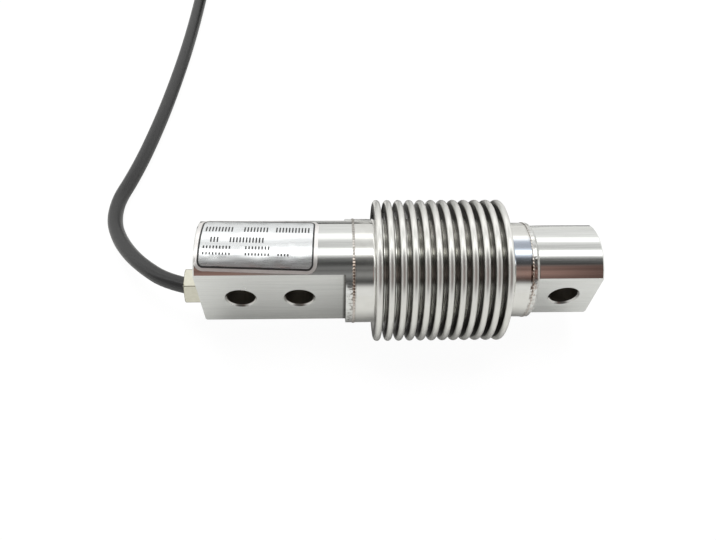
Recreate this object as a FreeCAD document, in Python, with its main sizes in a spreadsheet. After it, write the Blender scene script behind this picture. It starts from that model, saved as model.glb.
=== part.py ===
import FreeCAD, Part
import math
import os
import Sketcher

# Bending-beam load cell sealed by a metal bellows, with its cable.
# Millimetres. The origin is on the beam's axis, midway between the two mounting holes.
# +X runs to the load end, the milled flats face -Y and +Y, the rating plate is on the +Z side.

doc = FreeCAD.newDocument("BellowsLoadCell")
sheet = doc.addObject("Spreadsheet::Sheet", "Sizes")

SIZES = [
    # Mounting block: a turned bar with two milled flats and two bolt holes
    ("mount_dia", 30.8),
    ("mount_flat", 18.9),
    ("mount_pitch", 17.0),
    ("mount_margin", 11.9),
    ("mount_hole", 8.2),
    ("flat_stop", 21.8),
    ("collar_width", 2.5),
    ("hole_chamfer", 0.5),
    ("end_chamfer", 0.4),
    # Load end: a smaller turned bar with a weld ring, two milled flats and the load hole
    ("ring_dia", 28.2),
    ("ring_width", 1.4),
    ("load_dia", 26.7),
    ("load_flat", 18.9),
    ("load_reach", 11.6),
    ("load_margin", 9.15),
    ("load_hole", 8.2),
    # Bellows: one thin tube formed into convolutions, with a cuff at each end
    ("tube_dia", 30.7),
    ("tube_wall", 0.3),
    ("crest_dia", 42.0),
    ("crest_radius", 1.0),
    ("crest_pitch", 3.25),
    ("crest_count", 12),
    ("mount_cuff", 5.1),
    ("load_cuff", 4.8),
    ("neck_length", 1.3),
    ("cuff_clearance", 0.05),
    ("weld_width", 0.9),
    ("weld_height", 0.2),
    # Bending beam inside the bellows
    ("core_dia", 24.0),
    ("beam_thick", 16.0),
    ("beam_width", 13.0),
    ("flexure_dia", 11.0),
    ("flexure_spacing", 21.0),
    ("slot_height", 4.0),
    # Strain gauges, terminals, board and wiring on the beam
    ("gauge_length", 7.0),
    ("gauge_width", 5.0),
    ("gauge_thick", 0.1),
    ("terminal_length", 4.0),
    ("terminal_width", 8.0),
    ("terminal_thick", 0.5),
    ("board_length", 9.2),
    ("board_width", 12.4),
    ("board_thick", 0.8),
    ("resistor_length", 3.2),
    ("resistor_width", 1.6),
    ("resistor_thick", 0.6),
    ("resistor_offset", 4.2),
    ("fine_wire_dia", 0.3),
    ("fine_wire_pitch", 2.4),
    ("bridge_wire_dia", 0.5),
    ("bridge_wire_pitch", 2.0),
    ("wire_clearance", 0.05),
    # Cable entry
    ("gland_offset", 7.7),
    ("gland_flats", 10.0),
    ("gland_head", 6.0),
    ("gland_bevel", 0.7),
    ("gland_rim", 10.6),
    ("gland_turn", 4.0),
    ("gland_bore", 5.7),
    ("spigot_dia", 7.8),
    ("spigot_length", 4.0),
    ("gland_clearance", 0.2),
    ("washer_thick", 0.6),
    ("seal_length", 3.0),
    ("wire_bore", 5.4),
    ("cable_dia", 5.0),
    ("sheath_inset", 2.0),
    ("cable_recess", 0.9),
    ("cable_core_dia", 1.1),
    ("cable_core_pitch", 1.3),
    ("potting_length", 6.0),
    # Rating plate: foil on the round side between the flats
    ("plate_length", 34.4),
    ("plate_inset", 0.1),
    ("plate_thick", 0.12),
    ("plate_margin", 2.4),
    ("plate_corner", 1.5),
    # Cable coil, tie and stripped leads
    ("floor_drop", 21.0),
    ("coil_reach", 212.0),
    ("coil_radius", 30.0),
    ("coil_breadth", 22.0),
    ("coil_height", 20.0),
    ("coil_edge", 2.5),
    ("tie_thick", 1.2),
    ("tie_width", 3.6),
    ("tie_head", 4.5),
    ("tie_clearance", 0.15),
    ("lead_length", 23.0),
    ("lead_fan", 3.0),
]
ALIASES = []


def fill_row(alias, content):
    ALIASES.append(alias)
    row = len(ALIASES)
    sheet.set("A%d" % row, alias)
    sheet.set("B%d" % row, content)
    sheet.setAlias("B%d" % row, alias)


def derive(alias, expression):
    """Adds a length that follows from the sizes above."""
    fill_row(alias, "=" + expression)


for alias, value in SIZES:
    fill_row(alias, str(value))
doc.recompute()

# Stations along the axis, each the end of the one before plus a size.
derive("mount_end", "-mount_pitch / 2 - mount_margin")
derive("collar_step", "flat_stop + collar_width")
derive("bellows_start", "collar_step + mount_cuff")
derive("bellows_end", "bellows_start + crest_count * crest_pitch")
derive("neck_end", "bellows_end + neck_length")
derive("load_step", "neck_end + load_cuff")
derive("ring_end", "load_step + ring_width")
derive("taper_end", "ring_end + abs(ring_dia - load_dia) / 2")
derive("load_hole_at", "load_step + load_reach")
derive("load_end", "load_hole_at + load_margin")
derive("beam_middle", "(bellows_start + neck_end) / 2")
derive("flexure_near", "beam_middle - flexure_spacing / 2")
derive("flexure_far", "beam_middle + flexure_spacing / 2")
derive("valley_radius", "crest_pitch / 2 - crest_radius")
derive("mount_seat", "mount_dia - 2 * tube_wall - 2 * cuff_clearance")
derive("load_seat", "ring_dia - 2 * tube_wall - 2 * cuff_clearance")
derive("gland_pocket", "spigot_dia + gland_clearance")
derive("spigot_end", "mount_end + spigot_length")
derive("seal_start", "spigot_end + washer_thick")
derive("seal_end", "seal_start + seal_length")
derive("pocket_end", "seal_end + washer_thick")
derive("sheath_end", "pocket_end + sheath_inset")
derive("gland_face", "mount_end - gland_head")
derive("plate_start", "mount_end + end_chamfer + plate_inset")
derive("plate_half_angle", "asin(mount_flat / mount_dia) - plate_margin * 1 deg")
derive("board_face", "-beam_width / 2 - board_thick")
derive("core_height", "board_face - cable_core_dia / 2 - wire_clearance")
derive("lead_circle", "(cable_core_dia + wire_clearance) / 2 / sin(36 deg)")
doc.recompute()


def number(expression):
    """Value of a size expression, as a plain number."""
    found = sheet.evalExpression(expression)
    return float(getattr(found, "Value", found))


def size(alias):
    return number("Sizes." + alias)


def sized(expression):
    """Turns bare size names into references to the sheet."""
    words = []
    word = ""
    for letter in expression + " ":
        if letter.isalnum() or letter == "_":
            word += letter
            continue
        words.append("Sizes." + word if word in ALIASES else word)
        words.append(letter)
        word = ""
    return "".join(words).strip()


def plane(body, role):
    return [feature for feature in body.Origin.OriginFeatures if feature.Role == role][0]


def new_body(label):
    body = doc.addObject("PartDesign::Body", label)
    body.Label = label
    return body


def new_sketch(body, role, name, offset="0"):
    """Sketch on one of the body's origin planes, moved along the plane's normal by an expression."""
    sketch = body.newObject("Sketcher::SketchObject", name)
    sketch.AttachmentSupport = [(plane(body, role), "")]
    sketch.MapMode = "FlatFace"
    if offset != "0":
        sketch.setExpression("AttachmentOffset.Base.z", sized(offset))
    return sketch


def drive(sketch, constraint, expression):
    index = sketch.addConstraint(constraint)
    sketch.setExpression("Constraints[%d]" % index, sized(expression))


def pin(sketch, geometry, vertex, across, along):
    """Holds a vertex at a place given by two size expressions."""
    for kind, axis, expression in (("DistanceX", -2, across), ("DistanceY", -1, along)):
        value = number(sized(expression))
        if abs(value) < 1e-9:
            sketch.addConstraint(Sketcher.Constraint("PointOnObject", geometry, vertex, axis))
        else:
            drive(sketch, Sketcher.Constraint(kind, -1, 1, geometry, vertex, value), expression)


def outline(sketch, corners):
    """Closed outline through corners given as pairs of size expressions.

    A third entry makes the side that ends at that corner a quarter arc, with the radius given;
    a leading minus there turns the arc clockwise.
    """
    places = [FreeCAD.Vector(number(sized(c[0])), number(sized(c[1])), 0) for c in corners]
    ends = []
    for index, corner in enumerate(corners):
        start = places[index - 1]
        finish = places[index]
        if len(corner) == 2:
            geometry = sketch.addGeometry(Part.LineSegment(start, finish), False)
            ends.append((geometry, 1, 2))
            continue
        clockwise = corner[2].startswith("-")
        radius = number(sized(corner[2].lstrip("-")))
        chord = finish - start
        side = FreeCAD.Vector(-chord.y, chord.x, 0).normalize()
        rise = math.sqrt(max(radius ** 2 - chord.Length ** 2 / 4, 0))
        centre = (start + finish) / 2 + side * (-rise if clockwise else rise)
        middle = centre + (side * (1 if clockwise else -1)) * radius
        arc = Part.Arc(start, middle, finish)
        geometry = sketch.addGeometry(arc, False)
        ends.append((geometry, 2, 1) if clockwise else (geometry, 1, 2))
        drive(sketch, Sketcher.Constraint("Radius", geometry, radius), corner[2].lstrip("-"))
    for index, corner in enumerate(corners):
        geometry, first, last = ends[index]
        following, entry, leave = ends[(index + 1) % len(corners)]
        sketch.addConstraint(Sketcher.Constraint("Coincident", geometry, last, following, entry))
        pin(sketch, geometry, last, corner[0], corner[1])


def circle(sketch, across, along, diameter):
    centre = FreeCAD.Vector(number(sized(across)), number(sized(along)), 0)
    radius = number(sized(diameter)) / 2
    geometry = sketch.addGeometry(Part.Circle(centre, FreeCAD.Vector(0, 0, 1), radius), False)
    pin(sketch, geometry, 3, across, along)
    drive(sketch, Sketcher.Constraint("Diameter", geometry, 2 * radius), diameter)


def box_outline(sketch, left, right, low, high):
    outline(sketch, [(left, low), (right, low), (right, high), (left, high)])


def revolve(body, sketch, name):
    feature = body.newObject("PartDesign::Revolution", name)
    feature.Profile = sketch
    feature.ReferenceAxis = (sketch, ["H_Axis"])
    feature.Angle = 360
    return feature


def pocket_through(body, sketch, name):
    """Cuts right through the body, both ways from the sketch."""
    feature = body.newObject("PartDesign::Pocket", name)
    feature.Profile = sketch
    feature.SideType = "Symmetric"
    feature.Type = "ThroughAll"
    return feature


def extrude(body, kind, sketch, name, length, backward=False):
    feature = body.newObject("PartDesign::" + kind, name)
    feature.Profile = sketch
    feature.SideType = "One side"
    feature.Type = "Length"
    feature.setExpression("Length", sized(length))
    feature.Reversed = backward
    return feature


def box(label, lengths, corner):
    """Block with its lengths and its least corner given as size expressions."""
    block = doc.addObject("Part::Box", label)
    for edge, expression in zip(("Length", "Width", "Height"), lengths):
        block.setExpression(edge, sized(expression))
    for axis, expression in zip("xyz", corner):
        block.setExpression("Placement.Base." + axis, sized(expression))
    return block


def bar(label, diameter, start, length, across="0", along="0"):
    """Round bar along X from a station, with its axis at the place given in Y and Z."""
    rod = doc.addObject("Part::Cylinder", label)
    rod.Placement = FreeCAD.Placement(FreeCAD.Vector(), FreeCAD.Rotation(FreeCAD.Vector(0, 1, 0), 90))
    rod.setExpression("Radius", sized("(%s) / 2" % diameter))
    rod.setExpression("Height", sized(length))
    for axis, expression in zip("xyz", (start, across, along)):
        rod.setExpression("Placement.Base." + axis, sized(expression))
    return rod


def cut(label, base, tool):
    piece = doc.addObject("Part::Cut", label)
    piece.Base = base
    piece.Tool = tool
    return piece


def group(label, pieces):
    """Identical pieces kept together as one node of separate solids."""
    compound = doc.addObject("Part::Compound", label)
    compound.Links = pieces
    return compound


nodes = []


def keep(label, piece):
    """Names a finished piece; the name is also its file's name."""
    piece.Label = label
    nodes.append(piece)
    return piece


# Machined body: the mounting block, the bending beam and the load end are one turned and milled bar.
body = new_body("load_cell_body")
turned = new_sketch(body, "XY_Plane", "turned_outline")
outline(turned, [
    ("mount_end", "0"),
    ("mount_end", "mount_dia / 2 - end_chamfer"),
    ("mount_end + end_chamfer", "mount_dia / 2"),
    ("collar_step", "mount_dia / 2"),
    ("collar_step", "mount_seat / 2"),
    ("bellows_start", "mount_seat / 2"),
    ("bellows_start", "core_dia / 2"),
    ("neck_end", "core_dia / 2"),
    ("neck_end", "load_seat / 2"),
    ("load_step", "load_seat / 2"),
    ("load_step", "ring_dia / 2"),
    ("ring_end", "ring_dia / 2"),
    ("taper_end", "load_dia / 2"),
    ("load_end - end_chamfer", "load_dia / 2"),
    ("load_end", "load_dia / 2 - end_chamfer"),
    ("load_end", "0"),
])
revolve(body, turned, "turned_bar")

flats = new_sketch(body, "XY_Plane", "flats_outline")
for side in ("-", ""):
    near = side + "(mount_flat / 2)"
    far = side + "(mount_dia)"
    box_outline(flats, "mount_end - mount_margin", "flat_stop", near, far)
    near = side + "(load_flat / 2)"
    far = side + "(load_dia)"
    box_outline(flats, "taper_end", "load_end + load_margin", near, far)
pocket_through(body, flats, "milled_flats")

faces = new_sketch(body, "XY_Plane", "gauge_faces_outline")
for side in ("-", ""):
    box_outline(faces, "bellows_start", "neck_end", side + "(beam_thick / 2)", side + "(core_dia)")
pocket_through(body, faces, "gauge_faces")
sides = new_sketch(body, "XZ_Plane", "beam_sides_outline")
for side in ("-", ""):
    box_outline(sides, "bellows_start", "neck_end", side + "(beam_width / 2)", side + "(core_dia)")
pocket_through(body, sides, "beam_sides")

flexures = new_sketch(body, "XY_Plane", "flexure_outline")
circle(flexures, "flexure_near", "0", "flexure_dia")
circle(flexures, "flexure_far", "0", "flexure_dia")
pocket_through(body, flexures, "flexure_holes")
slot = new_sketch(body, "XY_Plane", "slot_outline")
box_outline(slot, "flexure_near", "flexure_far", "-slot_height / 2", "slot_height / 2")
pocket_through(body, slot, "flexure_slot")

bolts = new_sketch(body, "XZ_Plane", "bolt_hole_outline")
circle(bolts, "-mount_pitch / 2", "0", "mount_hole")
circle(bolts, "mount_pitch / 2", "0", "mount_hole")
circle(bolts, "load_hole_at", "0", "load_hole")
pocket_through(body, bolts, "bolt_holes")

packing = new_sketch(body, "YZ_Plane", "packing_outline", "mount_end")
circle(packing, "0", "-gland_offset", "gland_pocket")
extrude(body, "Pocket", packing, "packing_pocket", "pocket_end - mount_end", backward=True)
wiring = new_sketch(body, "YZ_Plane", "wire_bore_outline", "mount_end")
circle(wiring, "0", "-gland_offset", "wire_bore")
extrude(body, "Pocket", wiring, "wire_passage", "bellows_start - mount_end", backward=True)
doc.recompute()


def hole_rims(shape):
    """Edges where the three cross holes meet the milled flats."""
    stations = (-size("mount_pitch") / 2, size("mount_pitch") / 2, size("load_hole_at"))
    rims = []
    for index, edge in enumerate(shape.Edges, start=1):
        if not isinstance(edge.Curve, Part.Circle) or abs(edge.Curve.Axis.y) < 0.99:
            continue
        if any(abs(edge.Curve.Center.x - station) < 1e-4 for station in stations):
            rims.append("Edge%d" % index)
    return rims


rims = body.newObject("PartDesign::Chamfer", "hole_chamfers")
rims.Base = (body.getObject("wire_passage"), hole_rims(body.getObject("wire_passage").Shape))
rims.setExpression("Size", sized("hole_chamfer"))
body.Tip = rims
keep("load_cell_body", body)

# Bellows: one convolution is turned up from its wall section and repeated along the axis.
bellows = new_body("bellows")
fold = new_sketch(bellows, "XY_Plane", "convolution_outline")
ROOT = "tube_dia / 2"
ROOT_TOP = "(tube_dia / 2 + valley_radius)"
TIP_BASE = "(crest_dia / 2 - crest_radius)"
MIDDLE = "(bellows_start + crest_pitch / 2)"
INNER = "crest_radius - tube_wall"
outline(fold, [
    ("bellows_start", ROOT),
    (MIDDLE + " - crest_radius", ROOT_TOP, "valley_radius"),
    (MIDDLE + " - crest_radius", TIP_BASE),
    (MIDDLE, "crest_dia / 2", "-crest_radius"),
    (MIDDLE + " + crest_radius", TIP_BASE, "-crest_radius"),
    (MIDDLE + " + crest_radius", ROOT_TOP),
    ("bellows_start + crest_pitch", ROOT, "valley_radius"),
    ("bellows_start + crest_pitch", ROOT + " - tube_wall"),
    (MIDDLE + " + " + INNER, ROOT_TOP, "-valley_radius + tube_wall"),
    (MIDDLE + " + " + INNER, TIP_BASE),
    (MIDDLE, "crest_dia / 2 - tube_wall", INNER),
    (MIDDLE + " - (" + INNER + ")", TIP_BASE, INNER),
    (MIDDLE + " - (" + INNER + ")", ROOT_TOP),
    ("bellows_start", ROOT + " - tube_wall", "-valley_radius + tube_wall"),
])
convolution = revolve(bellows, fold, "convolution")
folds = bellows.newObject("PartDesign::LinearPattern", "convolutions")
folds.Originals = [convolution]
folds.Direction = (fold, ["H_Axis"])
folds.Mode = "Spacing"
folds.setExpression("Offset", sized("crest_pitch"))
folds.setExpression("Occurrences", sized("crest_count"))
bellows.Tip = folds
mount_cuff = new_sketch(bellows, "XY_Plane", "mount_cuff_outline")
outline(mount_cuff, [
    ("collar_step", "mount_dia / 2 - tube_wall"),
    ("collar_step", "mount_dia / 2"),
    ("bellows_start - neck_length", "mount_dia / 2"),
    ("bellows_start", ROOT),
    ("bellows_start", ROOT + " - tube_wall"),
    ("bellows_start - neck_length", "mount_dia / 2 - tube_wall"),
])
bellows.Tip = revolve(bellows, mount_cuff, "mount_cuff_tube")
load_cuff = new_sketch(bellows, "XY_Plane", "load_cuff_outline")
outline(load_cuff, [
    ("bellows_end", ROOT),
    ("neck_end", "ring_dia / 2"),
    ("load_step", "ring_dia / 2"),
    ("load_step", "ring_dia / 2 - tube_wall"),
    ("neck_end", "ring_dia / 2 - tube_wall"),
    ("bellows_end", ROOT + " - tube_wall"),
])
bellows.Tip = revolve(bellows, load_cuff, "load_cuff_tube")
keep("bellows", bellows)

# Weld seams: a low bead round each joint between the bellows and the machined body.
for label, station, seat in (("mount_weld", "collar_step", "mount_dia / 2"),
                             ("load_weld", "load_step", "ring_dia / 2")):
    bead = new_body(label)
    section = new_sketch(bead, "XY_Plane", label + "_section")
    outline(section, [
        (station + " - weld_width / 2", seat),
        (station + " - weld_width / 4", seat + " + weld_height"),
        (station + " + weld_width / 4", seat + " + weld_height"),
        (station + " + weld_width / 2", seat),
    ])
    revolve(bead, section, label + "_bead")
    keep(label, bead)

# Rating plate: foil with rounded corners, bent round the mounting block between the two flats.
plate = new_body("rating_plate")
strip = new_sketch(plate, "XZ_Plane", "plate_section")
box_outline(strip, "plate_start", "plate_start + plate_length", "mount_dia / 2", "mount_dia / 2 + plate_thick")
foil = revolve(plate, strip, "foil")
foil.Midplane = True
foil.setExpression("Angle", sized("2 * plate_half_angle"))
doc.recompute()
corners = []
for index, edge in enumerate(foil.Shape.Edges, start=1):
    if abs(edge.Length - size("plate_thick")) < 1e-6:
        corners.append("Edge%d" % index)
rounding = plate.newObject("PartDesign::Fillet", "foil_corners")
rounding.Base = (foil, corners)
rounding.setExpression("Radius", sized("plate_corner"))
plate.Tip = rounding
keep("rating_plate", plate)

# Gland: a hollow hexagon screw presses two washers and a rubber ring round the cable sheath.
gland = new_body("gland_screw")
head = new_sketch(gland, "YZ_Plane", "hexagon", "mount_end")
corners = []
for corner in range(6):
    angle = "(gland_turn + %d) * 1 deg" % (60 * corner)
    reach = "gland_flats / 2 / cos(30 deg)"
    corners.append(("%s * cos(%s)" % (reach, angle), "-gland_offset + %s * sin(%s)" % (reach, angle)))
outline(head, corners)
extrude(gland, "Pad", head, "hexagon_head", "gland_head", backward=True)
spigot = new_sketch(gland, "YZ_Plane", "spigot_outline", "mount_end")
circle(spigot, "0", "-gland_offset", "spigot_dia")
extrude(gland, "Pad", spigot, "spigot", "spigot_length")
RIM = "gland_rim / 2"
bevel = new_sketch(gland, "XZ_Plane", "bevel_outline")
axis_start = FreeCAD.Vector(size("gland_face"), -size("gland_offset"), 0)
axis_end = FreeCAD.Vector(size("mount_end"), -size("gland_offset"), 0)
bevel.addGeometry(Part.LineSegment(axis_start, axis_end), True)
pin(bevel, 0, 1, "gland_face", "-gland_offset")
pin(bevel, 0, 2, "mount_end", "-gland_offset")
outline(bevel, [
    ("gland_face", RIM + " - gland_offset"),
    ("gland_face + gland_bevel", RIM + " + gland_bevel * tan(60 deg) - gland_offset"),
    ("gland_face", RIM + " + gland_bevel * tan(60 deg) - gland_offset"),
])
bevelled = gland.newObject("PartDesign::Groove", "corner_bevel")
bevelled.Profile = bevel
bevelled.ReferenceAxis = (bevel, ["Axis0"])
bevelled.Angle = 360
throat = new_sketch(gland, "YZ_Plane", "throat_outline")
circle(throat, "0", "-gland_offset", "gland_bore")
gland.Tip = pocket_through(gland, throat, "throat")
keep("gland_screw", gland)


def ring(label, outer, inner, start, length):
    solid = bar(label + "_disc", outer, start, length, "0", "-gland_offset")
    hollow = bar(label + "_hole", inner, start, length, "0", "-gland_offset")
    return keep(label, cut(label, solid, hollow))


ring("gland_outer_washer", "spigot_dia", "wire_bore", "spigot_end", "washer_thick")
ring("gland_seal", "gland_pocket", "cable_dia", "seal_start", "seal_length")
ring("gland_inner_washer", "spigot_dia", "wire_bore", "seal_end", "washer_thick")

# Sheath end: the cable's own end inside the gland, stripped just past the packing.
entry = bar("cable_entry", "cable_dia", "gland_face + cable_recess",
            "sheath_end - gland_face - cable_recess", "0", "-gland_offset")
keep("cable_entry", entry)

# Cores: four insulated wires in a flat row, through the wire passage to the board.
cores = []
for place, colour in enumerate(("red", "black", "green", "white")):
    across = "(%d - 1.5) * cable_core_pitch" % place
    reach = "beam_middle - board_length / 4 - sheath_end"
    core = bar("core_" + colour, "cable_core_dia", "sheath_end", reach, across, "core_height")
    cores.append(keep("core_" + colour, core))
plug = bar("potting_plug", "wire_bore", "sheath_end", "potting_length", "0", "-gland_offset")
bundle = doc.addObject("Part::MultiFuse", "core_bundle")
bundle.Shapes = cores
keep("core_potting", cut("core_potting", plug, bundle))

# Strain gauges: one over each flexure hole, on both outer faces of the beam.
# Terminals: one strip on each face, midway between its two gauges.
fine_wires = []
for face, side in (("front", -1), ("back", 1)):
    surface = "%d * beam_thick / 2" % side
    for end, station in (("mount", "flexure_near"), ("load", "flexure_far")):
        low = surface if side > 0 else surface + " - gauge_thick"
        gauge = box("gauge_%s_%s" % (face, end), ("gauge_length", "gauge_thick", "gauge_width"),
                    (station + " - gauge_length / 2", low, "-gauge_width / 2"))
        keep("strain_gauge_%s_%s" % (face, end), gauge)
        for row in (-0.5, 0.5):
            start = "flexure_near + gauge_length / 2"
            if end == "load":
                start = "beam_middle + terminal_length / 2"
            span = "flexure_spacing / 2 - gauge_length / 2 - terminal_length / 2"
            lift = surface + " + %d * (fine_wire_dia / 2)" % side
            wire = bar("fine_wire_%s_%s" % (face, end), "fine_wire_dia", start, span,
                       lift, "%s * fine_wire_pitch" % row)
            fine_wires.append(wire)
    low = surface if side > 0 else surface + " - terminal_thick"
    strip = box("terminal_" + face, ("terminal_length", "terminal_thick", "terminal_width"),
                ("beam_middle - terminal_length / 2", low, "-terminal_width / 2"))
    keep("terminal_strip_" + face, strip)
keep("gauge_leads", group("gauge_leads", fine_wires))

# Compensation board: glued across the slot on the lower side of the beam, with its trim resistors.
board = box("board", ("board_length", "board_width", "board_thick"),
            ("beam_middle - board_length / 2", "-board_width / 2", "board_face"))
keep("compensation_board", board)
resistors = []
for side in (-1, 1):
    resistors.append(box("resistor", ("resistor_length", "resistor_width", "resistor_thick"),
                         ("beam_middle - resistor_length / 2",
                          "%d * resistor_offset - resistor_width / 2" % side,
                          "board_face - resistor_thick")))
keep("trim_resistors", group("trim_resistors", resistors))


def rounded_path(points):
    """Wire of straight runs joined by tangent arcs, each arc as large as its two runs allow."""
    edges = []
    radii = []
    last = points[0]
    for before, corner, after in zip(points, points[1:], points[2:]):
        back = before - corner
        ahead = after - corner
        trim = 0.45 * min(back.Length, ahead.Length)
        back.normalize()
        ahead.normalize()
        half_turn = (math.pi - back.getAngle(ahead)) / 2
        radius = trim / math.tan(half_turn)
        inward = back + ahead
        inward.normalize()
        centre = corner + inward * math.hypot(trim, radius)
        middle = centre - inward * radius
        edges.append(Part.LineSegment(last, corner + back * trim).toShape())
        edges.append(Part.Arc(corner + back * trim, middle, corner + ahead * trim).toShape())
        last = corner + ahead * trim
        radii.append(radius)
    edges.append(Part.LineSegment(last, points[-1]).toShape())
    return Part.Wire(edges), radii


def tube(label, points, diameter):
    """Round solid swept along the rounded path through the points."""
    path, radii = rounded_path(points)
    start = FreeCAD.Vector(points[0])
    direction = points[1] - points[0]
    section = Part.Wire([Part.makeCircle(diameter / 2, start, direction)])
    solid = path.makePipeShell([section], True, False)
    print(label, "radii", [round(radius, 1) for radius in radii], "length", round(path.Length, 1),
          "volume share", round(solid.Volume / (math.pi * diameter ** 2 / 4 * path.Length), 4))
    feature = doc.addObject("Part::Feature", label)
    feature.Shape = solid
    return feature


# Bridge wires: from the terminal strips round the beam's edge to the underside of the board.
bridge_wires = []
for side in (-1, 1):
    for row in (-0.5, 0.5):
        station = size("beam_middle") + row * size("bridge_wire_pitch")
        reach = size("bridge_wire_dia") / 2 + size("wire_clearance")
        outer = side * (size("beam_thick") / 2 + size("terminal_thick") + reach)
        under = size("board_face") - reach
        pad = side * (size("board_width") / 2 - size("resistor_width") / 2)
        bridge_wires.append(tube("bridge_wire", [
            FreeCAD.Vector(station, outer, -size("terminal_width") / 4),
            FreeCAD.Vector(station, outer, under),
            FreeCAD.Vector(station, pad, under),
        ], size("bridge_wire_dia")))
keep("bridge_wires", group("bridge_wires", bridge_wires))

# Cable: the loose stretch from the gland down to the surface that the cell lies on, and along it.
LEAD_ROUTE = [
    (-26.4, 0.0, -7.7),
    (-33.1, 2.0, -8.1),
    (-41.0, 8.3, -9.8),
    (-47.4, 15.4, -12.3),
    (-52.9, 23.8, -15.1),
    (-56.5, 32.8, -17.3),
    (-56.8, 42.6, -18.4),
    (-53.8, 51.8, -18.5),
    (-50.2, 66.4, -18.5),
    (-45.7, 92.0, -18.5),
    (-41.6, 127.8, -18.5),
    (-39.4, 163.7, -18.1),
    (-38.5, 191.3, -17.3),
]
keep("cable_lead", tube("cable_lead", [FreeCAD.Vector(p) for p in LEAD_ROUTE], size("cable_dia")))

# Coil: the put-away length, as the ring that its turns fill.
coil = new_body("cable_coil")
section = new_sketch(coil, "XZ_Plane", "coil_section")
inner = "coil_radius - coil_breadth / 2"
outer = "coil_radius + coil_breadth / 2"
low = "tie_thick - floor_drop"
high = "tie_thick - floor_drop + coil_height"
outline(section, [
    (outer + " - coil_edge", low),
    (outer, low + " + coil_edge", "coil_edge"),
    (outer, high + " - coil_edge"),
    (outer + " - coil_edge", high, "coil_edge"),
    (inner + " + coil_edge", high),
    (inner, high + " - coil_edge", "coil_edge"),
    (inner, low + " + coil_edge"),
    (inner + " + coil_edge", low, "coil_edge"),
])
wound = coil.newObject("PartDesign::Revolution", "wound_turns")
wound.Profile = section
wound.ReferenceAxis = (section, ["V_Axis"])
wound.Angle = 360
coil.setExpression("Placement.Base.y", sized("coil_reach"))
keep("cable_coil", coil)

# Tie: a strap round the coil's section, with its square head on top.
inside = "coil_radius - coil_breadth / 2 - tie_clearance"
edge = "coil_reach - tie_width / 2"
span = "coil_breadth + tie_clearance"
strap = box("tie_strap", (span + " + 2 * tie_thick", "tie_width", "coil_height + 2 * tie_thick"),
            (inside + " - tie_thick", edge, "-floor_drop"))
space = box("tie_space", (span, "tie_width", "coil_height"), (inside, edge, low))
block = box("tie_block", ("tie_head", "tie_width", "tie_head / 2"),
            ("coil_radius - tie_head / 2", edge, high + " + tie_thick"))
tie = doc.addObject("Part::Fuse", "cable_tie")
tie.Base = cut("tie_loop", strap, space)
tie.Tool = block
keep("cable_tie", tie)

# Tail: from the top of the coil down to the surface, where the sheath is stripped.
TAIL_ROUTE = [
    (20.8, 250.4, -2.4),
    (31.0, 250.2, -4.6),
    (42.0, 249.4, -10.2),
    (53.0, 247.8, -15.8),
    (64.0, 245.2, -18.5),
    (73.0, 242.0, -18.5),
]
tail = [FreeCAD.Vector(p) for p in TAIL_ROUTE]
keep("cable_tail", tube("cable_tail", tail, size("cable_dia")))

# Stripped leads: the four cores and the twisted shield leave the sheath in a ring and fan out on the surface.
onward = tail[-1] - tail[-2]
onward.normalize()
sideways = FreeCAD.Vector(-onward.y, onward.x, 0)
resting = size("cable_core_dia") / 2 - size("floor_drop")
LEADS = (("red", 162), ("black", 234), ("green", 90), ("white", 306), ("shield", 18))
for place, (colour, angle) in enumerate(LEADS):
    across = size("lead_circle") * math.cos(math.radians(angle))
    height = size("lead_circle") * math.sin(math.radians(angle))
    root = tail[-1] + sideways * across + FreeCAD.Vector(0, 0, height)
    aside = (place - 2) * size("lead_fan") - across
    points = []
    for share, spread, fall in ((0, 0, 0), (0.22, 0, 0), (0.5, 0.3, 0.45), (0.78, 0.65, 1), (1, 1, 1)):
        point = root + onward * share * size("lead_length") + sideways * spread * aside
        point.z += (resting - root.z) * fall
        points.append(point)
    keep("lead_" + colour, tube("lead_" + colour, points, size("cable_core_dia")))

doc.recompute()
failed = [item.Name for item in doc.Objects if "Invalid" in item.State or "Error" in item.State]
if failed:
    raise RuntimeError("failed objects: " + ", ".join(failed))
for piece in nodes:
    if piece.Shape.isNull() or not piece.Shape.isValid() or not piece.Shape.Solids:
        raise RuntimeError("bad shape: " + piece.Label)

os.makedirs("parts", exist_ok=True)
for piece in nodes:
    piece.Shape.exportStep("parts/%s.step" % piece.Label)
    print(piece.Label, "solids", len(piece.Shape.Solids), "volume", round(piece.Shape.Volume, 2))
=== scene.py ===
import math

import bpy
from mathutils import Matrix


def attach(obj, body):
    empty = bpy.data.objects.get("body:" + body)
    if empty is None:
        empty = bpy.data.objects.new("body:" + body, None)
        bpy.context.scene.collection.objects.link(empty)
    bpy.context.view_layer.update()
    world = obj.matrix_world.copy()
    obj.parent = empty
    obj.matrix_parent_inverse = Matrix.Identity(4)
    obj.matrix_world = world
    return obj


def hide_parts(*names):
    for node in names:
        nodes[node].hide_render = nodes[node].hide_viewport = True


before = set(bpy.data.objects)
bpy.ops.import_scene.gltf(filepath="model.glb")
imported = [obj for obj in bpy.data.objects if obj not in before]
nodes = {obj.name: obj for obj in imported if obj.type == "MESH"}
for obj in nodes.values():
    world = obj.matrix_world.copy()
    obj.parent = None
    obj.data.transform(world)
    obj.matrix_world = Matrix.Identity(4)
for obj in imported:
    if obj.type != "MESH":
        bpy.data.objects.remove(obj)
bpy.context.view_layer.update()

# Machined body: mounting block, hidden bending beam and load end in one bar of stainless steel.
# It is turned, the flats are milled, the holes are drilled and countersunk, and the round sides are polished
# along the axis. The welds at both ends of the bellows leave a brown heat tint.
MM = 0.001
WELD_AT = (24.3 * MM, 74.5 * MM)
BETWEEN_WELDS = 50 * MM
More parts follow.
